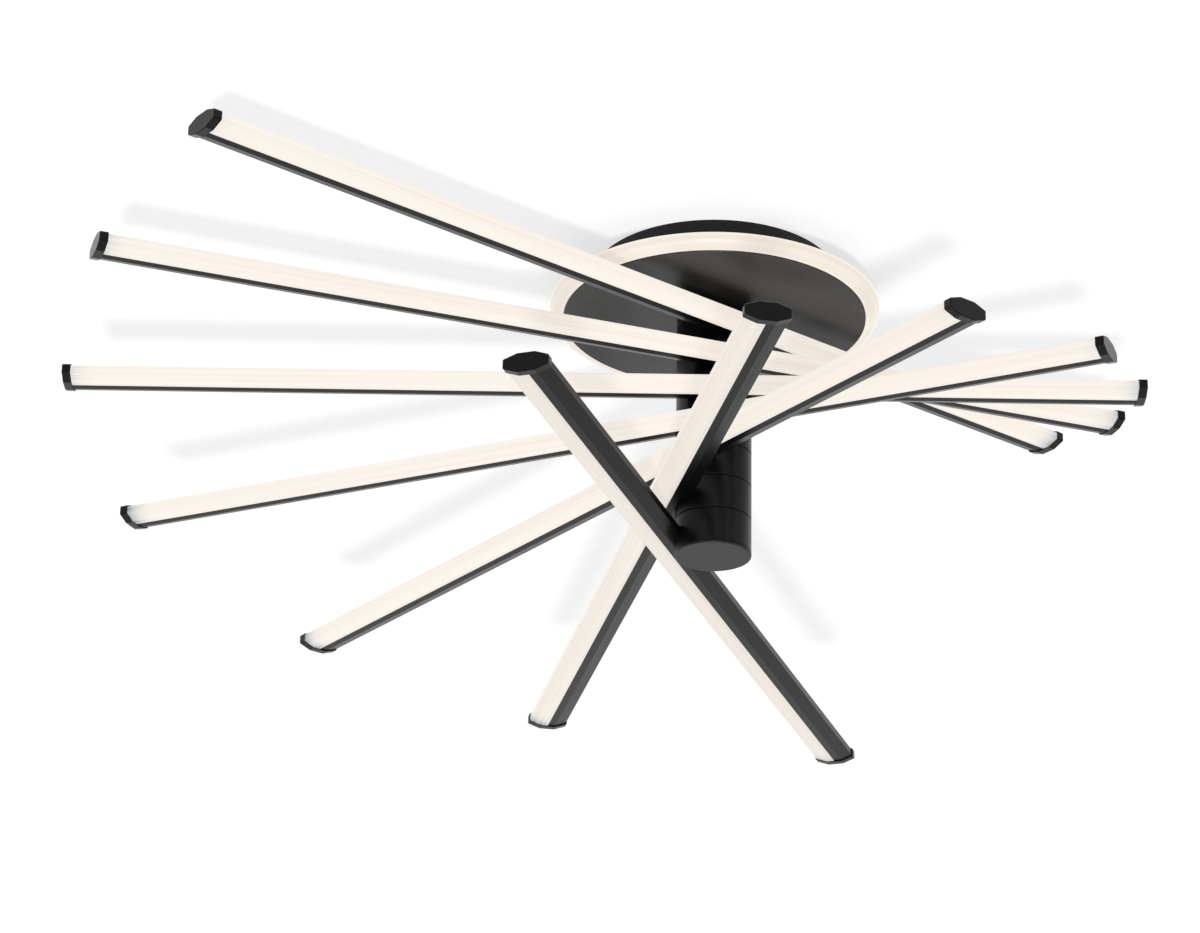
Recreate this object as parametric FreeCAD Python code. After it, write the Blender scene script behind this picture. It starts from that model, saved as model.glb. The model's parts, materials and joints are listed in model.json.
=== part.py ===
import FreeCAD, Part
import math
import os

# Ceiling light: a round canopy with a luminous ring, and a column of seven drums,
# each with one long light bar that swings about the column.
# Millimetres, +Z up. The origin is on the ceiling plane, on the column's axis.

V = FreeCAD.Vector
UP = V(0, 0, 1)
ORIGIN = V(0, 0, 0)

# Whole light
arm_count = 7
arm_pitch = 28.0
# Bar directions seen from above, anticlockwise from +X, top bar first
rest_angles_deg = [219.9, 201.2, 181.3, 157.3, 128.8, 102.8, 73.2]

# Clearances and cuts
running_clearance = 0.05
thread_clearance = 0.05
seat_clearance = 0.15
key_clearance = 0.05
snap_clearance = 0.1
joint_gap = 0.6
cap_gap = 0.4
ring_gap = 0.5
overrun = 1.0

# Light bar section: a flattened octagon
bar_length = 850.0
bar_shift = 87.3
bar_offset = 37.6
bar_width = 32.8
bar_height = 13.0
bar_side_height = 5.9
bar_flat_width = 13.1
bar_edge_radius = 0.5
profile_wall = 1.4
diffuser_wall = 1.4
web_thickness = 1.2
web_depth = 5.6
catch_height = 0.6
catch_width = 0.8
catch_depth = 2.0
tongue_thickness = 0.9
tongue_depth = 3.7
tongue_root = 0.9
nib_width = 0.6
screw_land = 4.2
access_hole_radius = 3.8
wire_hole_radius = 2.2

# End caps of a bar
cap_overhang = 1.0
cap_depth = 6.8
cap_plate = 2.0
cap_edge = 0.6
cap_plug_depth = 9.0
cap_plug_gap = 0.3

# LED board of a bar
board_gap = 0.4
board_thickness = 1.1
board_end_gap = 3.0
chip_count = 24
chip_length = 3.6
chip_width = 2.8
chip_height = 0.7

# Screws that hold a profile to its drum
bar_screw_spacing = 20.0
bar_screw_radius = 1.75
bar_screw_hole_radius = 1.9
bar_screw_head_radius = 2.75
bar_screw_head_height = 2.2
bar_screw_tip = 0.9
hex_key_width = 2.5
hex_key_depth = 1.2

# Drum of the column
column_radius = 30.0
drum_above_bar = 12.7
drum_wall = 2.5
drum_floor = 2.5
drum_edge = 0.3
boss_wall = 2.5
boss_top_recess = 0.4
chamber_clearance = 1.4
chamber_depth = 13.0
seat_thickness = 3.0
lug_width = 4.0
lug_reach = 3.4
lug_top_gap = 1.8
lug_angle_deg = 270.0
boss_wire_radius = 2.0

# Stop washers
washer_thickness = 1.0
tab_width = 4.0
tab_reach = 2.4
tab_drop = 6.3
stop_angle_deg = 236.5

# Stem, nuts and spring washer
stem_radius = 5.0
stem_wall = 1.6
stem_flat_depth = 0.6
stem_reach = 6.0
stem_wire_radius = 1.5
nut_wall = 2.0
nut_height = 5.0
spring_thickness = 0.8
spring_height = 1.2
spring_gap = 0.5

# Bottom cap of the column
end_plate = 2.0
end_edge_radius = 0.9
end_boss_wall = 2.5
end_boss_height = 3.6

# Fixed collar at the top of the column
collar_height = 7.4

# Canopy
pan_radius = 97.7
pan_wall = 1.2
pan_flange = 8.0
pan_edge = 1.0
tray_drop = 28.0
tray_thickness = 1.4
tray_setback = 2.7
tray_cable_radius = 8.0
tray_cable_place = 30.0
disc_overhang = 23.8
disc_thickness = 1.5
disc_edge = 0.5
ring_height = 10.6
ring_band = 10.7
ring_wall = 1.6
ring_top_width = 8.0
ring_foot_width = 2.0
ring_foot_drop = 0.4
lip_width = 5.0
lip_thickness = 1.5
spacer_wall = 3.0

# LED board of the ring
ring_board_gap = 6.7
ring_board_width = 11.0
ring_board_thickness = 1.2
ring_chip_count = 36

# Bracket on the ceiling
bracket_width = 20.0
bracket_thickness = 1.5
bracket_gap = 0.6
bracket_tab = 16.0
bracket_slot_width = 4.5
bracket_slot_length = 12.0
bracket_slot_spacing = 70.0
bracket_hole_radius = 14.0
bracket_belly_band = 6.0
side_screw_drop = 9.0
side_screw_radius = 2.0
side_screw_length = 7.0
side_screw_head_radius = 3.6
side_screw_head_height = 2.0

# Screws that hold the tray to the pan
tray_screw_count = 4
tray_screw_inset = 4.5
tray_screw_radius = 1.5
tray_screw_head_radius = 2.8
tray_screw_head_height = 1.6
tray_screw_turn_deg = 45.0

# LED driver and terminal block in the pan
driver_length = 112.0
driver_width = 34.0
driver_height = 19.0
driver_stem_gap = 3.0
driver_foot = 7.0
driver_foot_thickness = 2.0
driver_edge = 2.0
block_length = 40.0
block_width = 17.0
block_height = 14.0
block_place = 42.0
block_ways = 4
block_wire_radius = 1.8
block_screw_radius = 2.2
block_screw_depth = 3.0
block_step = 4.0

# Radii and widths worked out from the sizes above
nut_across_flats = 2 * (stem_radius + nut_wall)
nut_corner = nut_across_flats / 2 / math.cos(math.pi / 6)
stem_bore_radius = stem_radius - stem_wall
chamber_radius = nut_corner + chamber_clearance
boss_radius = chamber_radius + boss_wall
spring_radius = chamber_radius - spring_gap
end_boss_radius = stem_radius + end_boss_wall
spacer_radius = stem_radius + spacer_wall
disc_radius = pan_radius + disc_overhang
ring_radius = disc_radius + ring_gap + ring_band
ring_shoulder = ring_band - ring_foot_width
tray_radius = ring_radius - tray_setback
ring_board_outer = ring_radius - ring_top_width - ring_board_gap
ring_board_inner = ring_board_outer - ring_board_width
pan_inner = pan_radius - pan_wall
tray_screw_circle = pan_inner - tray_screw_inset
driver_place = nut_corner + driver_stem_gap + driver_width / 2

# Levels beside a bar, measured from the bar's centre
drum_bottom_rel = drum_above_bar + joint_gap - arm_pitch
boss_top_rel = drum_above_bar - boss_top_recess
chamber_top_rel = drum_bottom_rel + chamber_depth
floor_top_rel = drum_bottom_rel + drum_floor
collar_bottom_rel = boss_top_rel + washer_thickness
nut_bottom_rel = chamber_top_rel - spring_height - nut_height
end_boss_top_rel = drum_bottom_rel - cap_gap + end_boss_height
wire_rel = (nut_bottom_rel + end_boss_top_rel) / 2

# Levels below the ceiling
tray_top = -tray_drop
tray_bottom = tray_top - tray_thickness
disc_bottom = tray_bottom - ring_height
disc_top = disc_bottom + disc_thickness
stem_top = tray_top + nut_height + stem_reach
first_bar_level = disc_bottom - collar_height - collar_bottom_rel
last_bar_level = first_bar_level - (arm_count - 1) * arm_pitch
end_top = last_bar_level + drum_bottom_rel - cap_gap
end_bottom = end_top - end_plate

# Ends and slope of a bar
bar_end_long = bar_shift + bar_length / 2
bar_end_short = bar_shift - bar_length / 2
seat_offset = bar_offset - bar_width / 2
slope = math.atan2(
    (bar_height - bar_side_height) / 2, (bar_width - bar_flat_width) / 2
)


def bar_level(number):
    """Height of the centre of one bar, counted from 0 at the top."""
    return first_bar_level - number * arm_pitch


def cylinder(radius, height, base, axis=UP):
    return Part.makeCylinder(radius, height, base, axis)


def tube(outer, inner, height, base, axis=UP):
    """Plain sleeve; both walls run the full height."""
    return cylinder(outer, height, base, axis).cut(cylinder(inner, height, base, axis))


def block(x0, x1, y0, y1, z0, z1):
    """Box from its lower and upper coordinates."""
    return Part.makeBox(x1 - x0, y1 - y0, z1 - z0, V(x0, y0, z0))


def revolve(points):
    """Solid turned about Z from (radius, height) points."""
    corners = [V(radius, 0, level) for radius, level in points]
    face = Part.Face(Part.makePolygon(corners + corners[:1]))
    return face.revolve(ORIGIN, UP, 360)


def hexagon(across_flats, height, base, axis=UP):
    """Hexagonal prism, as of a nut or a key socket."""
    corner = across_flats / 2 / math.cos(math.pi / 6)
    points = []
    for index in range(6):
        angle = index * math.pi / 3
        points.append(V(corner * math.cos(angle), corner * math.sin(angle), 0))
    prism = Part.Face(Part.makePolygon(points + points[:1])).extrude(UP * height)
    prism.Placement = FreeCAD.Placement(base, FreeCAD.Rotation(UP, axis))
    return prism


def level_edges(shape):
    """Edges that lie level, as the rims of an upright drum."""
    return [edge for edge in shape.Edges if edge.BoundBox.ZLength < drum_edge]


def turned(shape, angle_deg):
    """Copy of a shape turned about the column's axis."""
    copy = shape.copy()
    copy.rotate(ORIGIN, UP, angle_deg)
    return copy


def raised(shape, level):
    """Copy of a shape moved along the column's axis."""
    copy = shape.copy()
    copy.translate(V(0, 0, level))
    return copy


def octagon(grow):
    """Outline of the bar's section with every side moved out by grow.

    The section lies in the plane across the bar: Y is outward from the column,
    and the bar's centre is at bar_offset."""
    half_width = bar_width / 2 + grow
    half_height = bar_height / 2 + grow
    side = bar_side_height / 2 + grow * (1 - math.sin(slope)) / math.cos(slope)
    flat = half_width - (half_height - side) / math.tan(slope)
    corners = [
        (half_width, side), (flat, half_height), (-flat, half_height),
        (-half_width, side), (-half_width, -side), (-flat, -half_height),
        (flat, -half_height), (half_width, -side),
    ]
    return [V(0, bar_offset + out, level) for out, level in corners]


def bar_face(grow):
    points = octagon(grow)
    return Part.Face(Part.makePolygon(points + points[:1]))


def bar_prism(grow, x0, x1):
    """Octagonal prism along the bar from x0 to x1."""
    prism = bar_face(grow).extrude(V(x1 - x0, 0, 0))
    prism.translate(V(x0, 0, 0))
    return prism


def rounded_prism(grow, x0, x1):
    """Prism along the bar with its eight long edges rounded."""
    prism = bar_prism(grow, x0, x1)
    long_edges = [edge for edge in prism.Edges if edge.BoundBox.XLength > (x1 - x0) / 2]
    return prism.makeFillet(bar_edge_radius + grow, long_edges)


def along_bar(out0, out1, level0, level1, x0, x1):
    """Box along the bar; out is measured outward from the bar's centre."""
    return block(x0, x1, bar_offset + out0, bar_offset + out1, level0, level1)


# Places across the bar, outward from its centre, and heights inside it
bar_x0 = bar_end_short + cap_plate
bar_x1 = bar_end_long - cap_plate
land_out = -bar_width / 2 + screw_land
web_out = -web_depth
web_face_out = web_out + web_thickness
inner_height = bar_height / 2 - profile_wall
tongue_top = inner_height - catch_height - snap_clearance
board_height = 2 * (tongue_top - tongue_thickness - board_gap)
screw_places = [-bar_screw_spacing / 2, bar_screw_spacing / 2]


def make_profile():
    """Aluminium half of a bar: outer wall, screw land, web for the LED board, two catches."""
    hollow = bar_prism(-profile_wall, bar_x0 - overrun, bar_x1 + overrun)
    land = along_bar(
        -bar_width, land_out, -bar_height, bar_height, bar_x0 - overrun, bar_x1 + overrun
    )
    shell = rounded_prism(0, bar_x0, bar_x1).cut(hollow.cut(land))
    half = along_bar(-bar_width, 0, -bar_height, bar_height, bar_x0, bar_x1)
    profile = shell.common(half)
    web = along_bar(web_out, web_face_out, -inner_height, inner_height, bar_x0, bar_x1)
    profile = profile.fuse(web)
    for side in (-1, 1):
        levels = sorted([side * inner_height, side * (inner_height - catch_height)])
        catch = along_bar(
            -catch_depth - catch_width, -catch_depth, levels[0], levels[1], bar_x0, bar_x1
        )
        profile = profile.fuse(catch)
    outward = V(0, 1, 0)
    for place in screw_places:
        foot = V(place, seat_offset - overrun, 0)
        hole = cylinder(bar_screw_hole_radius, screw_land + 2 * overrun, foot, outward)
        profile = profile.cut(hole)
        foot = V(place, bar_offset + web_out - overrun, 0)
        hole = cylinder(access_hole_radius, web_thickness + 2 * overrun, foot, outward)
        profile = profile.cut(hole)
    foot = V(0, seat_offset - overrun, 0)
    hole = cylinder(wire_hole_radius, screw_land + 2 * overrun, foot, outward)
    return profile.cut(hole).removeSplitter()


def make_diffuser():
    """Opal half of a bar: C-shaped shell with two tongues that snap behind the catches."""
    shell = rounded_prism(0, bar_x0, bar_x1).cut(
        bar_prism(-diffuser_wall, bar_x0 - overrun, bar_x1 + overrun)
    )
    half = along_bar(0, bar_width, -bar_height, bar_height, bar_x0, bar_x1)
    diffuser = shell.common(half)
    nib_out = -tongue_depth
    for side in (-1, 1):
        low, high = sorted([side * tongue_top, side * (tongue_top - tongue_thickness)])
        tongue = along_bar(nib_out, tongue_root, low, high, bar_x0, bar_x1)
        low, high = sorted([side * (bar_height / 2 - diffuser_wall / 2),
                            side * (tongue_top - tongue_thickness)])
        root = along_bar(0, tongue_root, low, high, bar_x0, bar_x1)
        low, high = sorted([side * (inner_height - snap_clearance),
                            side * (tongue_top - tongue_thickness)])
        nib = along_bar(nib_out, nib_out + nib_width, low, high, bar_x0, bar_x1)
        diffuser = diffuser.fuse([tongue, root, nib])
    return diffuser.removeSplitter()


def make_board():
    """LED strip on the profile's web, with its row of chips."""
    x0 = bar_x0 + cap_plug_depth + board_end_gap
    x1 = bar_x1 - cap_plug_depth - board_end_gap
    face_out = web_face_out + board_thickness
    board = along_bar(web_face_out, face_out, -board_height / 2, board_height / 2, x0, x1)
    step = (x1 - x0) / chip_count
    chips = []
    for index in range(chip_count):
        middle = x0 + (index + 1 / 2) * step
        chips.append(along_bar(
            face_out, face_out + chip_height, -chip_width / 2, chip_width / 2,
            middle - chip_length / 2, middle + chip_length / 2,
        ))
    return board.fuse(chips)


def make_cap(end_x, inward):
    """Moulded end cap: it sleeves over the bar's end and plugs into the profile."""
    depth = inward * cap_depth
    x0, x1 = sorted([end_x, end_x + depth])
    cap = rounded_prism(cap_overhang, x0, x1)
    rim = [edge for edge in cap.Edges if abs(edge.CenterOfMass.x - end_x) < cap_edge]
    cap = cap.makeChamfer(cap_edge, rim)
    pocket_x0, pocket_x1 = sorted([end_x + inward * cap_plate, end_x + depth + inward * overrun])
    cap = cap.cut(bar_prism(snap_clearance, pocket_x0, pocket_x1))
    plug_x0, plug_x1 = sorted([
        end_x + inward * cap_plate, end_x + inward * (cap_plate + cap_plug_depth)
    ])
    plug = bar_prism(-profile_wall - cap_plug_gap, plug_x0, plug_x1)
    half = along_bar(
        land_out + cap_plug_gap, web_out - cap_plug_gap, -bar_height, bar_height,
        plug_x0, plug_x1,
    )
    return cap.fuse(plug.common(half)).removeSplitter()


def make_bar_screws():
    """Two screws from inside the profile into the drum's seat wall."""
    outward = V(0, 1, 0)
    tip = seat_offset - seat_thickness - bar_screw_tip
    under_head = seat_offset + screw_land
    screws = []
    for place in screw_places:
        shank = cylinder(bar_screw_radius, under_head - tip, V(place, tip, 0), outward)
        head = cylinder(
            bar_screw_head_radius, bar_screw_head_height, V(place, under_head, 0), outward
        )
        socket_foot = V(place, under_head + bar_screw_head_height - hex_key_depth, 0)
        socket = hexagon(hex_key_width, hex_key_depth + overrun, socket_foot, outward)
        screws.append(shank.fuse(head).cut(socket).removeSplitter())
    return Part.makeCompound(screws)


def make_drum():
    """Cast drum: shell, floor, centre boss, seat for the bar and the stop lug."""
    height = drum_above_bar - drum_bottom_rel
    base = V(0, 0, drum_bottom_rel)
    body = cylinder(column_radius, height, base)
    body = body.makeChamfer(drum_edge, level_edges(body))
    inner_radius = column_radius - drum_wall
    cavity_base = V(0, 0, floor_top_rel)
    cavity = cylinder(inner_radius, drum_above_bar - floor_top_rel + overrun, cavity_base)
    seat = block(
        -column_radius, column_radius, seat_offset - seat_thickness, column_radius,
        drum_bottom_rel, drum_above_bar + overrun,
    )
    body = body.cut(cavity.cut(seat))
    boss = cylinder(boss_radius, boss_top_rel - drum_bottom_rel, base)
    lug_top = boss_top_rel - lug_top_gap
    lug = block(
        0, boss_radius + lug_reach, -lug_width / 2, lug_width / 2, drum_bottom_rel, lug_top
    )
    body = body.fuse([boss, turned(lug, lug_angle_deg)])
    bore_base = V(0, 0, drum_bottom_rel - overrun)
    bore = cylinder(stem_radius + running_clearance, height + 2 * overrun, bore_base)
    chamber = cylinder(chamber_radius, chamber_depth + overrun, bore_base)
    body = body.cut(bore).cut(chamber)
    notch = bar_prism(seat_clearance, -2 * column_radius, 2 * column_radius)
    reach = block(
        -2 * column_radius, 2 * column_radius, seat_offset, bar_offset + bar_width,
        -bar_height, bar_height,
    )
    body = body.cut(notch.common(reach))
    outward = V(0, 1, 0)
    wire_hole = cylinder(boss_wire_radius, boss_radius, V(0, 0, wire_rel), outward)
    body = body.cut(wire_hole)
    seat_foot = V(0, seat_offset - seat_thickness - overrun, 0)
    through = seat_thickness + 2 * overrun
    body = body.cut(cylinder(wire_hole_radius, through, seat_foot, outward))
    for place in screw_places:
        foot = seat_foot + V(place, 0, 0)
        body = body.cut(cylinder(bar_screw_radius + thread_clearance, through, foot, outward))
    return body.removeSplitter()


def make_stop_washer():
    """Keyed washer, local to its drum: it can't turn on the stem, and its tab hangs down."""
    ring = cylinder(boss_radius, washer_thickness, V(0, 0, boss_top_rel))
    outer = boss_radius + tab_reach
    top = boss_top_rel + washer_thickness
    arm = block(0, outer, -tab_width / 2, tab_width / 2, boss_top_rel, top)
    tab = block(
        outer - washer_thickness, outer, -tab_width / 2, tab_width / 2,
        top - tab_drop - washer_thickness, top,
    )
    bore = cylinder(
        stem_radius + key_clearance, washer_thickness + 2 * overrun,
        V(0, 0, boss_top_rel - overrun),
    )
    flat = stem_radius - stem_flat_depth + key_clearance
    key = block(
        flat, boss_radius, -stem_radius, stem_radius, boss_top_rel - 2 * overrun, top + 2 * overrun
    )
    washer = ring.fuse([arm, tab]).cut(bore.cut(key))
    return turned(washer.removeSplitter(), stop_angle_deg)


def make_stem():
    """Hollow threaded rod with a flat down its side and a wire hole at each drum."""
    length = stem_top - end_top
    stem = tube(stem_radius, stem_bore_radius, length, V(0, 0, end_top))
    key_top = disc_bottom
    flat = block(
        stem_radius - stem_flat_depth, stem_radius + overrun, -stem_radius, stem_radius,
        end_top - overrun, key_top,
    )
    stem = stem.cut(turned(flat, stop_angle_deg))
    away = math.radians(stop_angle_deg + 180)
    side = V(math.cos(away), math.sin(away), 0)
    for number in range(arm_count):
        foot = V(0, 0, bar_level(number) + wire_rel)
        stem = stem.cut(cylinder(stem_wire_radius, stem_radius + overrun, foot, side))
    return stem


def make_nut(level):
    """Thin hexagon nut on the stem, its lower face at level, with chamfered corners."""
    base = V(0, 0, level)
    nut = hexagon(nut_across_flats, nut_height, base)
    drop = nut_corner - nut_across_flats / 2
    top = level + nut_height
    dressed = revolve([
        (0, level), (nut_corner - drop, level), (nut_corner, level + drop),
        (nut_corner, top - drop), (nut_corner - drop, top), (0, top),
    ])
    bore = cylinder(
        stem_radius + thread_clearance, nut_height + 2 * overrun, base - UP * overrun
    )
    return nut.common(dressed).cut(bore)


def make_stem_nuts():
    lower = make_nut(last_bar_level + nut_bottom_rel)
    upper = make_nut(tray_top)
    return Part.makeCompound([upper, lower])


def make_spring_washer():
    """Dished spring washer between the last drum and its nut."""
    top = last_bar_level + chamber_top_rel
    bottom = top - spring_height
    inner = stem_radius + seat_clearance
    return revolve([
        (inner, bottom), (inner, bottom + spring_thickness),
        (spring_radius, top), (spring_radius, top - spring_thickness),
    ])


def make_end_cap():
    """Plain disc that closes the column, screwed onto the stem's end."""
    plate = cylinder(column_radius, end_plate, V(0, 0, end_bottom))
    top_rim = [edge for edge in level_edges(plate) if edge.BoundBox.ZMin > end_bottom + drum_edge]
    plate = plate.makeChamfer(drum_edge, top_rim)
    bottom_rim = [edge for edge in level_edges(plate) if edge.BoundBox.ZMax < end_bottom + drum_edge]
    plate = plate.makeFillet(end_edge_radius, bottom_rim)
    boss = tube(
        end_boss_radius, stem_radius + thread_clearance, end_boss_height, V(0, 0, end_top)
    )
    return plate.fuse(boss).removeSplitter()


def make_collar():
    """Fixed first part of the column, clamped between the disc and the first drum."""
    bottom = bar_level(0) + collar_bottom_rel
    collar = cylinder(column_radius, disc_bottom - bottom, V(0, 0, bottom))
    collar = collar.makeChamfer(drum_edge, level_edges(collar))
    hollow = tube(
        column_radius - drum_wall, boss_radius, disc_bottom - bottom - drum_floor,
        V(0, 0, bottom + drum_floor),
    )
    bore = cylinder(stem_radius + seat_clearance, 2 * arm_pitch, V(0, 0, bottom - arm_pitch))
    return collar.cut(hollow).cut(bore)


def make_pan():
    """Spun steel pan, open to the ceiling, with an inward flange above the tray."""
    flange_top = tray_top + pan_wall
    shell = revolve([
        (pan_radius, 0), (pan_radius, tray_top + pan_edge), (pan_radius - pan_edge, tray_top),
        (pan_inner - pan_flange, tray_top), (pan_inner - pan_flange, flange_top),
        (pan_inner, flange_top), (pan_inner, 0),
    ])
    for side in (-1, 1):
        foot = V(side * (pan_inner - overrun), 0, -side_screw_drop)
        hole = cylinder(
            side_screw_radius + thread_clearance, pan_wall + 2 * overrun, foot, V(side, 0, 0)
        )
        shell = shell.cut(hole)
    for place in tray_screw_feet(tray_top - overrun):
        hole = cylinder(
            tray_screw_radius + thread_clearance, pan_wall + 2 * overrun, place
        )
        shell = shell.cut(hole)
    return shell


def tray_screw_feet(level):
    """Places of the tray's screws at a level."""
    feet = []
    for index in range(tray_screw_count):
        angle = math.radians(tray_screw_turn_deg + index * 360 / tray_screw_count)
        feet.append(V(
            tray_screw_circle * math.cos(angle), tray_screw_circle * math.sin(angle), level
        ))
    return feet


def make_tray():
    """Pressed plate that closes the pan and carries the ring's light."""
    base = V(0, 0, tray_bottom)
    through = tray_thickness + 2 * overrun
    tray = cylinder(tray_radius, tray_thickness, base)
    tray = tray.cut(cylinder(stem_radius + seat_clearance, through, base - UP * overrun))
    cable_foot = V(tray_cable_place, 0, tray_bottom - overrun)
    tray = tray.cut(cylinder(tray_cable_radius, through, cable_foot))
    for place in tray_screw_feet(tray_bottom - overrun):
        tray = tray.cut(cylinder(tray_screw_radius + thread_clearance, through, place))
    return tray


def make_tray_screws():
    screws = []
    for place in tray_screw_feet(tray_bottom):
        shank = cylinder(tray_screw_radius, tray_thickness + pan_wall, place)
        head_foot = place - UP * tray_screw_head_height
        head = cylinder(tray_screw_head_radius, tray_screw_head_height, head_foot)
        screws.append(shank.fuse(head).removeSplitter())
    return Part.makeCompound(screws)


def make_side_screws():
    """Two screws through the pan's wall into the bracket's tabs."""
    screws = []
    for side in (-1, 1):
        outward = V(side, 0, 0)
        tip = V(side * (pan_radius - side_screw_length), 0, -side_screw_drop)
        shank = cylinder(side_screw_radius, side_screw_length, tip, outward)
        head_foot = V(side * pan_radius, 0, -side_screw_drop)
        head = cylinder(side_screw_head_radius, side_screw_head_height, head_foot, outward)
        far_rim = [
            edge for edge in head.Edges
            if edge.BoundBox.XLength < cap_edge
            and abs(edge.CenterOfMass.x) > pan_radius + cap_edge
        ]
        head = head.makeChamfer(cap_edge, far_rim)
        screws.append(shank.fuse(head))
    return Part.makeCompound(screws)


def bracket_end():
    """Distance of the outer faces of the bracket's tabs from the axis."""
    return math.sqrt((pan_inner - bracket_gap / 2) ** 2 - (bracket_width / 2) ** 2)


def make_bracket():
    """Mounting bracket: flat bar with a round belly, two slots and two bent tabs."""
    end = bracket_end()
    half = bracket_width / 2
    bar = block(-end, end, -half, half, -bracket_thickness, 0)
    belly_radius = bracket_hole_radius + bracket_belly_band
    belly = cylinder(belly_radius, bracket_thickness, V(0, 0, -bracket_thickness))
    bracket = bar.fuse(belly)
    for side in (-1, 1):
        x0, x1 = sorted([side * end, side * (end - bracket_thickness)])
        bracket = bracket.fuse(block(x0, x1, -half, half, -bracket_tab, 0))
    through = bracket_thickness + 2 * overrun
    foot = V(0, 0, -bracket_thickness - overrun)
    bracket = bracket.cut(cylinder(bracket_hole_radius, through, foot))
    slot_radius = bracket_slot_width / 2
    run = bracket_slot_length / 2 - slot_radius
    for side in (-1, 1):
        middle = side * bracket_slot_spacing / 2
        slot = block(
            middle - run, middle + run, -slot_radius, slot_radius,
            -bracket_thickness - overrun, overrun,
        )
        for place in (middle - run, middle + run):
            slot = slot.fuse(cylinder(slot_radius, through, foot + V(place, 0, 0)))
        bracket = bracket.cut(slot)
        tip = V(side * (end - bracket_thickness - overrun), 0, -side_screw_drop)
        hole = cylinder(side_screw_radius + thread_clearance, through, tip, V(side, 0, 0))
        bracket = bracket.cut(hole)
    return bracket.removeSplitter()


def make_ring_board():
    """Flat annular board with its ring of chips, under the tray."""
    base = V(0, 0, tray_bottom - ring_board_thickness)
    board = tube(ring_board_outer, ring_board_inner, ring_board_thickness, base)
    middle = (ring_board_outer + ring_board_inner) / 2
    chip = block(
        middle - chip_width / 2, middle + chip_width / 2, -chip_length / 2, chip_length / 2,
        base.z - chip_height, base.z,
    )
    chips = [turned(chip, index * 360 / ring_chip_count) for index in range(ring_chip_count)]
    return board.fuse(chips)


def make_ring_diffuser():
    """Opal ring: rounded outer shoulder, flat foot, inner lip on the disc, top lip."""
    foot = disc_bottom + ring_foot_drop
    inner = disc_radius + ring_gap
    middle_x = ring_radius - ring_shoulder
    middle_z = foot + ring_shoulder

    def arc(radius):
        cosine = radius * math.sqrt(1 / 2)
        return Part.Arc(
            V(middle_x, 0, middle_z - radius),
            V(middle_x + cosine, 0, middle_z - cosine),
            V(middle_x + radius, 0, middle_z),
        ).toShape()

    def run(points):
        corners = [V(radius, 0, level) for radius, level in points]
        return [Part.makeLine(corners[i], corners[i + 1]) for i in range(len(corners) - 1)]

    thin = ring_shoulder - ring_wall
    lip_top = disc_top + lip_thickness
    outer_run = run([
        (disc_radius - lip_width, lip_top), (disc_radius - lip_width, disc_top),
        (inner, disc_top), (inner, foot), (middle_x, foot),
    ])
    top_run = run([
        (ring_radius, middle_z), (ring_radius, tray_bottom),
        (ring_radius - ring_top_width, tray_bottom),
        (ring_radius - ring_top_width, tray_bottom - ring_wall),
        (ring_radius - ring_wall, tray_bottom - ring_wall), (ring_radius - ring_wall, middle_z),
    ])
    inner_run = run([
        (middle_x, foot + ring_wall), (inner + ring_wall, foot + ring_wall),
        (inner + ring_wall, lip_top), (disc_radius - lip_width, lip_top),
    ])
    edges = outer_run + [arc(ring_shoulder)] + top_run + [arc(thin)] + inner_run
    face = Part.Face(Part.Wire(Part.__sortEdges__(edges)))
    return face.revolve(ORIGIN, UP, 360)


def make_disc():
    """Disc that closes the canopy from below, with a fine rounded edge."""
    disc = cylinder(disc_radius, disc_thickness, V(0, 0, disc_bottom))
    rims = [
        edge for edge in disc.Edges
        if edge.BoundBox.ZLength < disc_edge and edge.CenterOfMass.z < disc_top - disc_edge
    ]
    disc = disc.makeFillet(disc_edge, rims)
    bore = cylinder(
        stem_radius + seat_clearance, disc_thickness + 2 * overrun, V(0, 0, disc_bottom - overrun)
    )
    return disc.cut(bore)


def make_spacer():
    length = tray_bottom - disc_top
    return tube(spacer_radius, stem_radius + seat_clearance, length, V(0, 0, disc_top))


def make_driver():
    """LED driver: a closed plastic case with two screw feet and recessed ends."""
    half = driver_length / 2
    y0 = driver_place - driver_width / 2
    y1 = driver_place + driver_width / 2
    case = block(-half + driver_foot, half - driver_foot, y0, y1, tray_top,
                 tray_top + driver_height)
    uprights = [edge for edge in case.Edges if edge.BoundBox.ZLength > driver_height / 2]
    case = case.makeFillet(driver_edge, uprights)
    foot = block(-half, half, y0, y1, tray_top, tray_top + driver_foot_thickness)
    case = case.fuse(foot)
    for side in (-1, 1):
        place = V(side * (half - driver_foot / 2), driver_place, tray_top - overrun)
        hole = cylinder(tray_screw_radius, driver_foot_thickness + 2 * overrun, place)
        case = case.cut(hole)
        inside = half - driver_foot - driver_edge
        x0, x1 = sorted([side * inside, side * half])
        opening = block(
            x0, x1, y0 + driver_edge, y1 - driver_edge,
            tray_top + driver_height / 2, tray_top + driver_height - driver_edge,
        )
        case = case.cut(opening)
    return case.removeSplitter()


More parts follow.
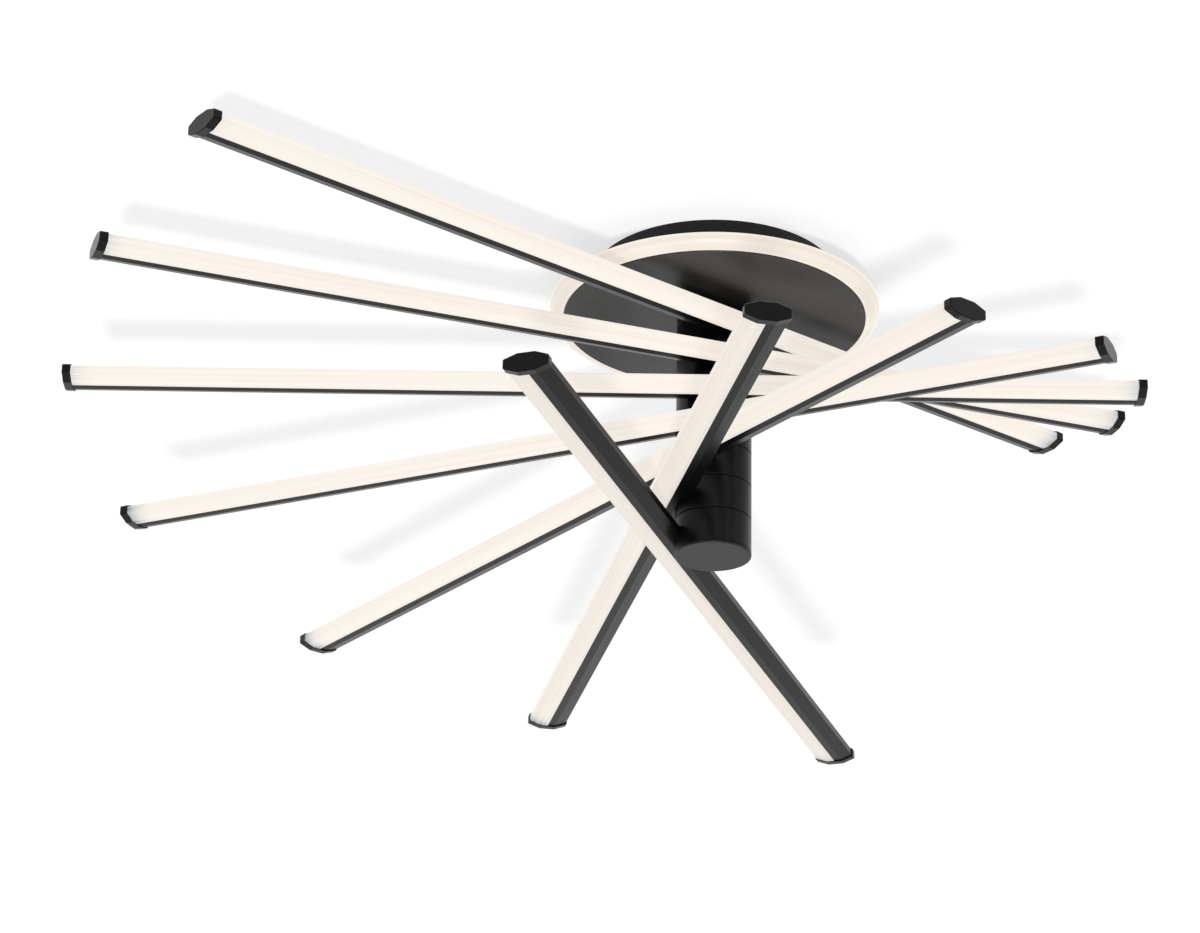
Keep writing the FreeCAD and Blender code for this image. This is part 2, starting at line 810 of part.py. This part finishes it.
def make_terminal_block():
    """Screw terminal block with a stepped top, wire entries and screw wells."""
    y0 = -block_place - block_width / 2
    y1 = -block_place + block_width / 2
    top = tray_top + block_height
    body = block(-block_length / 2, block_length / 2, y0, y1, tray_top, top)
    for edge_y in (y0, y1 - block_step):
        step = block(
            -block_length / 2 - overrun, block_length / 2 + overrun,
            edge_y, edge_y + block_step, top - block_step, top + overrun,
        )
        body = body.cut(step)
    pitch = block_length / block_ways
    for way in range(block_ways):
        x = (way + 1 / 2) * pitch - block_length / 2
        entry_foot = V(x, y0 - overrun, tray_top + (block_height - block_step) / 2)
        entry = cylinder(
            block_wire_radius, block_width + 2 * overrun, entry_foot, V(0, 1, 0)
        )
        well = cylinder(
            block_screw_radius, block_screw_depth + overrun,
            V(x, -block_place, top - block_screw_depth),
        )
        body = body.cut(entry).cut(well)
    return body


def arm_pieces():
    """Pieces of one bar at the column's axis, at level zero, lying along +X."""
    caps = Part.makeCompound([make_cap(bar_end_short, 1), make_cap(bar_end_long, -1)])
    return {
        "drum": make_drum(),
        "profile": make_profile(),
        "diffuser": make_diffuser(),
        "led_board": make_board(),
        "end_caps": caps,
        "bar_screws": make_bar_screws(),
    }


def fixed_pieces():
    """Pieces that stay with the ceiling."""
    washer = make_stop_washer()
    washers = [raised(washer, bar_level(number)) for number in range(arm_count)]
    return {
        "ceiling_bracket": make_bracket(),
        "canopy_pan": make_pan(),
        "canopy_screws": make_side_screws(),
        "light_tray": make_tray(),
        "tray_screws": make_tray_screws(),
        "ring_led_board": make_ring_board(),
        "ring_diffuser": make_ring_diffuser(),
        "canopy_disc": make_disc(),
        "led_driver": make_driver(),
        "terminal_block": make_terminal_block(),
        "stem_tube": make_stem(),
        "stem_spacer": make_spacer(),
        "stem_nuts": make_stem_nuts(),
        "column_collar": make_collar(),
        "stop_washers": Part.makeCompound(washers),
        "spring_washer": make_spring_washer(),
        "bottom_cap": make_end_cap(),
    }


def main():
    os.makedirs("parts", exist_ok=True)
    nodes = fixed_pieces()
    arm = arm_pieces()
    for number in range(arm_count):
        for name, shape in arm.items():
            placed = turned(shape, rest_angles_deg[number])
            nodes[name + "_" + str(number + 1)] = raised(placed, bar_level(number))
    for name, shape in nodes.items():
        shape.exportStep("parts/" + name + ".step")
        solids = len(shape.Solids)
        print(name, solids, round(shape.Volume), shape.isValid())
    touch_deg = math.degrees(
        math.asin(lug_width / 2 / boss_radius) + math.asin(tab_width / 2 / boss_radius)
    )
    print("stop angle between lug and tab, degrees:", round(touch_deg, 2))


main()
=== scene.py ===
import json
import math

import bmesh
import bpy
from mathutils import Matrix, Vector

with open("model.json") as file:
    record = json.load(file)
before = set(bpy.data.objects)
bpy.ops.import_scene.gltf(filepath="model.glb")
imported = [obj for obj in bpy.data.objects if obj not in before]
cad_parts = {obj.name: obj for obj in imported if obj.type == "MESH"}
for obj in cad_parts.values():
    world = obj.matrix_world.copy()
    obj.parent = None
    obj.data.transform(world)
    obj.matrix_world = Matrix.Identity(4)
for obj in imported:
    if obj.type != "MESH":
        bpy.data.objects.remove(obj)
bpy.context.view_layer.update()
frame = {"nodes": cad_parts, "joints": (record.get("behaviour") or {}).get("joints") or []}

# Ceiling light with a lit ring, and seven lit bars that swing about one column.
# Metres, +Z up into the ceiling. The origin is on the ceiling plane, on the column's axis.
NODES = frame["nodes"]

# Heading at which every bar meets its upper stop, in degrees seen from above
STOP_HEADING = 306.5
# Headings of the bars at rest, top bar first
REST_ANGLES = [STOP_HEADING - joint["range_deg"][1] for joint in frame["joints"]]

# Camera that matches the photograph: metres, degrees, and millimetres for lens and sensor
CAMERA_PLACE = (0.0, -2.68345, -1.38320)
CAMERA_YAW = 1.915
CAMERA_PITCH = 24.336
CAMERA_ROLL = 1.088
CAMERA_LENS = 111.842
SENSOR_WIDTH = 36.0

# Sun lamp: the way that its light travels, its strength, and its width in degrees
KEY_TRAVEL = (0.01, 1.29, 1.0)
KEY_STRENGTH = 2.2
KEY_WIDTH = 5.0

WHITE = (1.0, 1.0, 1.0)
BLACK = (0.0, 0.0, 0.0)

# In every finish below, a grain is the number of noise cells in a metre, a share is the first
# noise's part of two, a bump is a strength and a depth in metres, and a spread is what the
# roughness gains where the noise is low and where it is high. A noise's dark and light tones
# stand at the two ends of NOISE_RANGE, unless the finish has a range of its own.
NOISE_RANGE = (0.3, 0.7)

# Stage
CEILING_LEVEL = 0.0008
CEILING_RADIUS = 6.0
CEILING_HOLE_RADIUS = 0.088
CEILING_GRAIN = 90.0
CEILING_DARK = (0.395, 0.395, 0.40)
CEILING_LIGHT = (0.405, 0.405, 0.41)
CEILING_GLOW = 0.70
FLOOR_LEVEL = -6.0
FLOOR_RADIUS = 4.0
FLOOR_GRAIN = 12.0
FLOOR_DARK = (0.80, 0.80, 0.80)
FLOOR_LIGHT = (0.82, 0.82, 0.82)
FLOOR_GLOW = 0.45
ROOM_LIGHT = 0.52
STAGE_SIDES = 96

# Powder coats: dark tone, light tone, roughness, specular level
PAN_COAT = ((0.004, 0.0039, 0.0036), (0.008, 0.0078, 0.0072), 0.40, 0.22)
DISC_COAT = ((0.013, 0.0125, 0.0118), (0.016, 0.0154, 0.0146), 0.28, 0.345)
COLUMN_COAT = ((0.0018, 0.0018, 0.0020), (0.0028, 0.0028, 0.0031), 0.31, 0.17)
BOTTOM_COAT = ((0.006, 0.006, 0.0057), (0.008, 0.008, 0.0076), 0.36, 0.22)
PEEL_GRAIN = 2600.0
PEEL_SHARE = 0.35
PEEL_SPREAD = (-0.04, 0.05)
PEEL_BUMP = (0.12, 0.00012)
COAT_CLOUD_GRAIN = 26.0
COAT_CLOUD_DETAIL = 3.0

# Anodised aluminium with draw lines along the bar: the same four values
BAR_ANODISING = ((0.0012, 0.0012, 0.0011), (0.0026, 0.0026, 0.0024), 0.30, 0.12)
DRAW_GRAIN = (6.0, 1500.0, 1500.0)
DRAW_DETAIL = 3.0
DRAW_SHARE = 0.5
DRAW_SPREAD = (-0.05, 0.07)
DRAW_BUMP = (0.12, 0.00010)
DRAW_CLOUD_GRAIN = (30.0, 90.0, 90.0)
DRAW_TONE_RANGE = (0.32, 0.68)
DRAW_SPREAD_RANGE = (0.25, 0.75)

# Moulded plastics: the same four values and the sheen
CAP_PLASTIC = ((0.0010, 0.0010, 0.0010), (0.0025, 0.0025, 0.0025), 0.33, 0.05, 0.24)
CASE_PLASTIC = ((0.74, 0.74, 0.72), (0.80, 0.80, 0.79), 0.42, 0.4, 0.0)
SPARK_GRAIN = 1900.0
SPARK_SHARE = 0.5
SPARK_SPREAD = (-0.05, 0.06)
SPARK_BUMP = (0.2, 0.00012)
SPARK_CLOUD_GRAIN = 60.0
SHEEN_ROUGHNESS = 0.52

# Zinc plate: two tones, cloud, and scratches that run at an angle in degrees
ZINC_DARK = (0.46, 0.47, 0.49)
ZINC_LIGHT = (0.66, 0.66, 0.65)
ZINC_CLOUD_GRAIN = 120.0
ZINC_CLOUD_DETAIL = 4.0
ZINC_CLOUD_CRISPNESS = 0.6
SCRATCH_GRAIN = (400.0, 2600.0, 2600.0)
SCRATCH_ANGLE = 31.0
SCRATCH_ROUGHNESS = (0.26, 0.42)
SCRATCH_BUMP = (0.15, 0.00008)

# White solder mask of the LED boards
MASK_DARK = (0.78, 0.78, 0.74)
MASK_LIGHT = (0.86, 0.86, 0.83)
MASK_GRAIN = 1400.0
MASK_DETAIL = 1.0
MASK_ROUGHNESS = (0.30, 0.42)
MASK_BUMP = (0.1, 0.00006)

# Opal plastic: share of the room's light that it gives back, and the glow of each bar and
# of the ring
OPAL_SHADE = 0.18
BAR_GLOWS = [0.835, 0.835, 0.835, 0.835, 0.82, 0.755, 0.70]
RING_GLOW = 0.79

# Opal bars: roughness and specular level, cream tones from streak to streak, and the streaks
BAR_GLOSS = (0.42, 0.15)
BAR_TONES = [
    (0.30, (0.90, 0.81, 0.73)), (0.44, (0.955, 0.88, 0.80)),
    (0.56, (0.975, 0.915, 0.84)), (0.70, (0.98, 0.94, 0.88)),
]
STREAK_GRAIN = (2.6, 1000.0, 800.0)
STREAK_DETAIL = 3.0
STREAK_CRISPNESS = 0.6
STREAK_SHARE = 0.6
STREAK_BUMP = (0.15, 0.00012)
BROAD_GRAIN = (2.2, 260.0, 210.0)

# Painted shade and highlight of an opal bar round its section, facet by facet, from the middle of
# its lower flat to the top of its side. The way round is counted as the steps outward and upward
# together.
FACET_REACH = 0.026
FACET_PAINTED_SHADES = [
    (0.00, (0.925, 0.925, 0.930)), (0.08, (0.930, 0.930, 0.935)), (0.14, (0.975, 0.975, 0.980)),
    (0.20, (0.990, 0.990, 0.995)), (0.30, (0.985, 0.980, 0.980)), (0.54, (0.965, 0.960, 0.955)),
    (0.72, (0.955, 0.947, 0.940)), (0.76, (0.937, 0.929, 0.920)), (0.80, (0.990, 0.992, 1.000)),
    (0.90, (0.985, 0.988, 0.995)), (1.00, (0.960, 0.960, 0.970)),
]

# Painted shade at an opal bar's ends: the bar loses its glow and turns a cool grey towards its end
# caps.
# The fade lies between two distances from the bar's end, and has a depth for each bar at its short
# and long end. It is shallower in a light streak and deeper in a dark one, and the grey comes in
# faster than the glow goes.
FADE_START = 0.048
FADE_STOP = 0.006
FADE_POWER = 5.0
FADE_SHORT = [0.95, 0.56, 0.52, 0.16, 0.12, 0.09, 0.09]
FADE_LONG = [0.17, 0.42, 0.42, 1.15, 1.15, 1.15, 0.50]
FADE_STREAK_RANGE = (0.62, 0.38)
FADE_STREAK_DEPTHS = (0.28, 1.05)
FADE_GREY = (0.86, 0.87, 0.88)
FADE_GREY_SPEED = 3.0

# Opal ring: roughness and specular level, its rounded edge, cream tones, and flow lines
RING_GLOSS = (0.38, 0.2)
RING_EDGE_RADIUS = 0.0087
RING_TONES = [(0.32, (0.95, 0.88, 0.79)), (0.68, (0.98, 0.93, 0.85))]
FLOW_GRAIN = 700.0
FLOW_SHARE = 0.4
FLOW_BUMP = (0.08, 0.00010)
RING_CLOUD_GRAIN = 18.0
# Painted highlight and shade on the ring round its edge, from its lower face to its outer side
RING_PAINTED_EDGE_SHADES = [
    (0.00, (0.990, 0.980, 0.965)), (0.10, (0.950, 0.935, 0.915)), (0.44, (0.960, 0.945, 0.930)),
    (0.55, (0.985, 0.970, 0.955)), (0.68, (0.940, 0.920, 0.895)), (0.90, (0.910, 0.885, 0.865)),
    (1.00, (1.000, 0.990, 0.980)),
]


# Sizes read from the frame
def node_points(node, heading_deg=0.0):
    """Points of a node's mesh, turned about Z so that the heading becomes +X."""
    turn = Matrix.Rotation(math.radians(-heading_deg), 3, "Z")
    return [turn @ vertex.co for vertex in NODES[node].data.vertices]


def bar_reach():
    """Ends of a bar along its heading, and how far its middle is beside the column's axis."""
    points = node_points("end_caps_1", REST_ANGLES[0])
    along = [point.x for point in points]
    beside = [point.y for point in points]
    return min(along), max(along), (min(beside) + max(beside)) / 2


def bar_bottom(number):
    return min(point.z for point in node_points("diffuser_" + str(number + 1)))


def ring_edge():
    """Centre of the ring's rounded edge: distance from the column's axis, and level."""
    points = node_points("ring_diffuser")
    outer = max(point.xy.length for point in points)
    bottom = min(point.z for point in points)
    return outer - RING_EDGE_RADIUS, bottom + RING_EDGE_RADIUS


# Node helpers
class Graph:
    """Short calls for building one node tree."""

    def __init__(self, tree):
        self.tree = tree
        tree.nodes.clear()

    def plug(self, socket, value):
        if isinstance(value, bpy.types.NodeSocket):
            self.tree.links.new(value, socket)
        else:
            socket.default_value = value

    def add(self, kind, inputs=None, **settings):
        node = self.tree.nodes.new(kind)
        for name, value in settings.items():
            setattr(node, name, value)
        for name, value in (inputs or {}).items():
            self.plug(node.inputs[name], value)
        return node

    def math(self, operation, first, second=0.0, clamp=False):
        node = self.add("ShaderNodeMath", {0: first, 1: second}, operation=operation)
        node.use_clamp = clamp
        return node.outputs[0]

    def blend(self, first, share, second):
        """Weighted sum of two values."""
        return self.math("ADD", self.math("MULTIPLY", first, share),
                         self.math("MULTIPLY", second, 1.0 - share))

    def times(self, first, second):
        """Product of two vectors or colours, part by part."""
        node = self.add("ShaderNodeVectorMath", {0: first, 1: second}, operation="MULTIPLY")
        return node.outputs[0]

    def split(self, vector):
        return self.add("ShaderNodeSeparateXYZ", {0: vector}).outputs

    def turn(self, vector, turn_deg):
        """Vector turned about Z."""
        node = self.add("ShaderNodeMapping", {
            "Vector": vector, "Rotation": (0.0, 0.0, math.radians(turn_deg)),
        })
        return node.outputs[0]

    def noise(self, vector, grain, detail=2.0, crispness=0.5):
        """Noise with one grain, or with a grain for each axis."""
        if isinstance(grain, tuple):
            vector = self.times(vector, grain)
            grain = 1.0
        node = self.add("ShaderNodeTexNoise", {
            "Vector": vector, "Scale": grain, "Detail": detail, "Roughness": crispness,
        })
        return node.outputs["Fac"]

    def ramp(self, value, stops):
        """Colour ramp from (place, colour) stops."""
        node = self.add("ShaderNodeValToRGB", {"Fac": value})
        elements = node.color_ramp.elements
        while len(elements) < len(stops):
            elements.new(0.5)
        for element, (place, colour) in zip(elements, stops):
            element.position = place
            element.color = (*colour, 1.0)
        return node.outputs["Color"]

    def tones(self, value, dark, light, places=NOISE_RANGE):
        return self.ramp(value, list(zip(places, (dark, light))))

    def span(self, value, places, results):
        """Value that runs between two results while its source runs between two places."""
        node = self.add("ShaderNodeMapRange", {
            "Value": value, "From Min": places[0], "From Max": places[1],
            "To Min": results[0], "To Max": results[1],
        })
        return node.outputs["Result"]

    def spread(self, value, middle, changes, places=NOISE_RANGE):
        return self.span(value, places, [middle + change for change in changes])

    def mix(self, factor, first, second):
        """Colour between two colours, each a socket or three numbers."""
        node = self.add("ShaderNodeMix", data_type="RGBA")
        # The inputs from 1 to 5 are for mixing numbers and vectors
        for index, value in ((0, factor), (6, first), (7, second)):
            self.plug(node.inputs[index], (*value, 1.0) if isinstance(value, tuple) else value)
        return node.outputs[2]

    def bump(self, height, strength, depth):
        node = self.add("ShaderNodeBump", {
            "Height": height, "Strength": strength, "Distance": depth,
        })
        return node.outputs["Normal"]


def new_material(name):
    material = bpy.data.materials.new(name)
    material.use_nodes = True
    graph = Graph(material.node_tree)
    where = graph.add("ShaderNodeTexCoord").outputs["Object"]
    return material, graph, where


def finish_material(graph, sockets):
    shader = graph.add("ShaderNodeBsdfPrincipled", sockets)
    graph.add("ShaderNodeOutputMaterial", {"Surface": shader.outputs["BSDF"]})


# Materials
def powder_coat(name, dark, light, rough, specular):
    """Satin black coat: fine orange peel, slight cloudiness."""
    material, graph, where = new_material(name)
    peel = graph.noise(where, PEEL_GRAIN)
    cloud = graph.noise(where, COAT_CLOUD_GRAIN, COAT_CLOUD_DETAIL)
    mixed = graph.blend(peel, PEEL_SHARE, cloud)
    finish_material(graph, {
        "Base Color": graph.tones(mixed, dark, light),
        "Roughness": graph.spread(mixed, rough, PEEL_SPREAD),
        "Specular IOR Level": specular,
        "Normal": graph.bump(peel, *PEEL_BUMP),
    })
    return material


def anodised(name, heading_deg, dark, light, rough, specular):
    """Black anodised extrusion with faint draw lines along the bar."""
    material, graph, where = new_material(name)
    along = graph.turn(where, -heading_deg)
    lines = graph.noise(along, DRAW_GRAIN, DRAW_DETAIL)
    mixed = graph.blend(lines, DRAW_SHARE, graph.noise(along, DRAW_CLOUD_GRAIN))
    finish_material(graph, {
        "Base Color": graph.tones(mixed, dark, light, DRAW_TONE_RANGE),
        "Roughness": graph.spread(lines, rough, DRAW_SPREAD, DRAW_SPREAD_RANGE),
        "Specular IOR Level": specular,
        "Normal": graph.bump(lines, *DRAW_BUMP),
    })
    return material


def moulded(name, dark, light, rough, specular, sheen):
    """Moulded plastic with a fine spark-eroded grain."""
    material, graph, where = new_material(name)
    spark = graph.noise(where, SPARK_GRAIN)
    mixed = graph.blend(spark, SPARK_SHARE, graph.noise(where, SPARK_CLOUD_GRAIN))
    finish_material(graph, {
        "Base Color": graph.tones(mixed, dark, light),
        "Roughness": graph.spread(spark, rough, SPARK_SPREAD),
        "Specular IOR Level": specular,
        "Sheen Weight": sheen, "Sheen Roughness": SHEEN_ROUGHNESS,
        "Normal": graph.bump(spark, *SPARK_BUMP),
    })
    return material


def zinc(name):
    """Bright zinc plate: cloudy, slightly blue, with fine scratches."""
    material, graph, where = new_material(name)
    cloud = graph.noise(where, ZINC_CLOUD_GRAIN, ZINC_CLOUD_DETAIL, ZINC_CLOUD_CRISPNESS)
    scratch = graph.noise(graph.turn(where, SCRATCH_ANGLE), SCRATCH_GRAIN)
    finish_material(graph, {
        "Base Color": graph.tones(cloud, ZINC_DARK, ZINC_LIGHT),
        "Metallic": 1.0,
        "Roughness": graph.span(scratch, NOISE_RANGE, SCRATCH_ROUGHNESS),
        "Normal": graph.bump(scratch, *SCRATCH_BUMP),
    })
    return material


def solder_mask(name):
    """White solder mask with a faint weave."""
    material, graph, where = new_material(name)
    weave = graph.noise(where, MASK_GRAIN, MASK_DETAIL)
    finish_material(graph, {
        "Base Color": graph.tones(weave, MASK_DARK, MASK_LIGHT),
        "Roughness": graph.span(weave, NOISE_RANGE, MASK_ROUGHNESS),
        "Normal": graph.bump(weave, *MASK_BUMP),
    })
    return material


def finish_opal(graph, colour, glow, gloss, normal):
    """Lit opal plastic: most of its brightness is its own glow."""
    finish_material(graph, {
        "Base Color": graph.mix(OPAL_SHADE, BLACK, colour),
        "Roughness": gloss[0], "Specular IOR Level": gloss[1],
        "Emission Color": colour, "Emission Strength": glow,
        "Normal": normal,
    })


def painted_facet_shade(graph, number, y, z):
    """Painted shade and highlight of a bar's diffuser round its section."""
    _, _, middle = bar_reach()
    outward = graph.math("SUBTRACT", y, middle)
    upward = graph.math("SUBTRACT", z, bar_bottom(number))
    way = graph.math("DIVIDE", graph.math("ADD", outward, upward), FACET_REACH, clamp=True)
    return graph.ramp(way, FACET_PAINTED_SHADES)


def painted_end_shade(graph, number, x, streaks):
    """Painted shade at a bar's diffuser ends: 0 along the bar, and up to 1 at its end caps."""
    short_end, long_end, _ = bar_reach()
    fades = []
    for end, inward, depth in ((short_end, 1, FADE_SHORT[number]),
                               (long_end, -1, FADE_LONG[number])):
        near = graph.span(x, (end + inward * FADE_START, end + inward * FADE_STOP), (0.0, 1.0))
        fades.append(graph.math("MULTIPLY", graph.math("POWER", near, FADE_POWER), depth))
    uneven = graph.span(streaks, FADE_STREAK_RANGE, FADE_STREAK_DEPTHS)
    return graph.math("MULTIPLY", graph.math("MAXIMUM", *fades), uneven, clamp=True)


def opal_bar(name, number):
    """Diffuser of one bar: cream with long streaks, painted shade by facet, and painted shade at
    its ends.
    """
    material, graph, where = new_material(name)
    along = graph.turn(where, -REST_ANGLES[number])
    fine = graph.noise(along, STREAK_GRAIN, STREAK_DETAIL, STREAK_CRISPNESS)
    streaks = graph.blend(fine, STREAK_SHARE, graph.noise(along, BROAD_GRAIN))
    x, y, z = graph.split(along)
    # The streak colour is multiplied by painted shade and highlight round the section
    toned = graph.times(graph.ramp(streaks, BAR_TONES), painted_facet_shade(graph, number, y, z))
    # Painted shade near the end caps: the glow dims and the colour turns a cool grey
    end_shade = painted_end_shade(graph, number, x, streaks)
    grey = graph.math("MULTIPLY", end_shade, FADE_GREY_SPEED, clamp=True)
    glow = graph.span(end_shade, (0.0, 1.0), (BAR_GLOWS[number], 0.0))
    finish_opal(graph, graph.mix(grey, toned, FADE_GREY), glow, BAR_GLOSS,
                graph.bump(fine, *STREAK_BUMP))
    return material


def opal_ring(name):
    """Ring: even cream, faint flow lines round it, and painted highlight and shade round its
    rounded edge.
    """
    material, graph, where = new_material(name)
    x, y, z = graph.split(where)
    radius = graph.math("SQRT", graph.math("ADD", graph.math("MULTIPLY", x, x),
                                           graph.math("MULTIPLY", y, y)))
    rings = graph.add("ShaderNodeCombineXYZ", {0: radius, 1: z}).outputs[0]
    flow = graph.noise(rings, FLOW_GRAIN)
    mixed = graph.blend(flow, FLOW_SHARE, graph.noise(where, RING_CLOUD_GRAIN))
    arc_radius, arc_level = ring_edge()
    angle = graph.math("ARCTAN2", graph.math("SUBTRACT", radius, arc_radius),
                       graph.math("SUBTRACT", arc_level, z))
    # Painted highlight and shade round the ring's rounded edge
    edge = graph.ramp(graph.math("DIVIDE", angle, math.pi / 2, clamp=True), RING_PAINTED_EDGE_SHADES)
    finish_opal(graph, graph.times(graph.ramp(mixed, RING_TONES), edge), RING_GLOW, RING_GLOSS,
                graph.bump(flow, *FLOW_BUMP))
    return material


def dress(material, *nodes):
    for node in nodes:
        NODES[node].data.materials[0] = material


def dress_all():
    column_coat = powder_coat("coat_column", *COLUMN_COAT)
    metal = zinc("zinc_plate")
    mask = solder_mask("white_board_mask")
    cap_plastic = moulded("black_plastic_moulded", *CAP_PLASTIC)
    dress(powder_coat("coat_pan", *PAN_COAT), "canopy_pan", "canopy_screws", "light_tray")
    dress(powder_coat("coat_disc", *DISC_COAT), "canopy_disc")
    dress(powder_coat("coat_bottom", *BOTTOM_COAT), "bottom_cap")
    dress(column_coat, "column_collar")
    dress(metal, "ceiling_bracket", "tray_screws", "stem_tube", "stem_spacer", "stem_nuts",
          "stop_washers", "spring_washer")
    dress(moulded("white_plastic_moulded", *CASE_PLASTIC), "led_driver", "terminal_block")
    dress(mask, "ring_led_board")
    dress(opal_ring("opal_ring"), "ring_diffuser")
    for number, heading in enumerate(REST_ANGLES):
        tag = "_" + str(number + 1)
        dress(column_coat, "drum" + tag)
        dress(anodised("anodised_bar" + tag, heading, *BAR_ANODISING), "profile" + tag)
        dress(opal_bar("opal_bar" + tag, number), "diffuser" + tag)
        dress(mask, "led_board" + tag)
        dress(cap_plastic, "end_caps" + tag)
        dress(metal, "bar_screws" + tag)


# Stage, light and camera
def flat_sheet(name, material, radius, level, facing, hole=None):
    """Round sheet, with a round hole if its radius is given; facing is 1 for up and -1 for down."""
    mesh = bpy.data.meshes.new(name)
    form = bmesh.new()

    def circle(size):
        angles = [facing * 2 * math.pi * index / STAGE_SIDES for index in range(STAGE_SIDES)]
        return [form.verts.new((size * math.cos(a), size * math.sin(a), level)) for a in angles]

    rim = circle(radius)
    if hole is None:
        form.faces.new(rim)
    else:
        inner = circle(hole)
        for index in range(STAGE_SIDES):
            after = (index + 1) % STAGE_SIDES
            form.faces.new((rim[index], rim[after], inner[after], inner[index]))
    form.to_mesh(mesh)
    form.free()
    mesh.materials.append(material)
    sheet = bpy.data.objects.new(name, mesh)
    bpy.context.collection.objects.link(sheet)


def seen_directly(graph):
    """1 for what the camera sees, also in a mirror or through glass, and 0 for light."""
    path = graph.add("ShaderNodeLightPath")
    mirrored = graph.math("MAXIMUM", path.outputs["Is Glossy Ray"],
                          path.outputs["Is Transmission Ray"])
    return graph.math("MAXIMUM", path.outputs["Is Camera Ray"], mirrored)


def stage_paint(name, grain, dark, light, glow):
    """Matt paint that takes shadows, with a glow that is seen and lights nothing."""
    material, graph, where = new_material(name)
    paint = graph.add("ShaderNodeBsdfDiffuse", {
        "Color": graph.tones(graph.noise(where, grain), dark, light),
    })
    shine = graph.add("ShaderNodeEmission", {
        "Strength": graph.math("MULTIPLY", seen_directly(graph), glow),
    })
    lit = graph.add("ShaderNodeAddShader", {0: paint.outputs[0], 1: shine.outputs[0]})
    return material, graph, lit.outputs[0]


def make_ceiling():
    """White ceiling, which shows from below only and is open over the pan."""
    material, graph, lit = stage_paint("ceiling_paint", CEILING_GRAIN, CEILING_DARK,
                                       CEILING_LIGHT, CEILING_GLOW)
    clear = graph.add("ShaderNodeBsdfTransparent").outputs[0]
    back = graph.add("ShaderNodeNewGeometry").outputs["Backfacing"]
    shown = graph.add("ShaderNodeMixShader", {0: back, 1: lit, 2: clear})
    graph.add("ShaderNodeOutputMaterial", {"Surface": shown.outputs[0]})
    flat_sheet("ceiling", material, CEILING_RADIUS, CEILING_LEVEL, -1, CEILING_HOLE_RADIUS)


def make_floor():
    material, graph, lit = stage_paint("floor_paint", FLOOR_GRAIN, FLOOR_DARK, FLOOR_LIGHT,
                                       FLOOR_GLOW)
    graph.add("ShaderNodeOutputMaterial", {"Surface": lit})
    flat_sheet("floor", material, FLOOR_RADIUS, FLOOR_LEVEL, 1)


def make_world():
    """White surroundings, brighter to the eye than the light that they give."""
    world = bpy.data.worlds.new("studio")
    bpy.context.scene.world = world
    world.use_nodes = True
    graph = Graph(world.node_tree)
    strength = graph.span(seen_directly(graph), (0.0, 1.0), (ROOM_LIGHT, 1.0))
    sky = graph.add("ShaderNodeBackground", {"Color": (*WHITE, 1.0), "Strength": strength})
    graph.add("ShaderNodeOutputWorld", {"Surface": sky.outputs[0]})


def make_key():
    lamp = bpy.data.lights.new("key", "SUN")
    lamp.energy = KEY_STRENGTH
    lamp.angle = math.radians(KEY_WIDTH)
    holder = bpy.data.objects.new("key", lamp)
    holder.rotation_euler = Vector(KEY_TRAVEL).to_track_quat("-Z", "Y").to_euler()
    bpy.context.collection.objects.link(holder)


def make_camera():
    yaw, pitch, roll = (math.radians(v) for v in (CAMERA_YAW, CAMERA_PITCH, CAMERA_ROLL))
    ahead = Vector((-math.sin(yaw) * math.cos(pitch), math.cos(yaw) * math.cos(pitch),
                    math.sin(pitch)))
    right = Vector((math.cos(yaw), math.sin(yaw), 0.0))
    above = right.cross(ahead)
    level_right = math.cos(roll) * right + math.sin(roll) * above
    level_up = -math.sin(roll) * right + math.cos(roll) * above
    columns = Matrix((level_right, level_up, -ahead)).transposed().to_4x4()
    data = bpy.data.cameras.new("camera")
    data.sensor_width = SENSOR_WIDTH
    data.lens = CAMERA_LENS
    camera = bpy.data.objects.new("camera", data)
    camera.matrix_world = Matrix.Translation(CAMERA_PLACE) @ columns
    bpy.context.collection.objects.link(camera)
    bpy.context.scene.camera = camera


make_camera()
make_world()
make_ceiling()
make_floor()
make_key()
dress_all()
bpy.context.scene.view_settings.view_transform = "Standard"
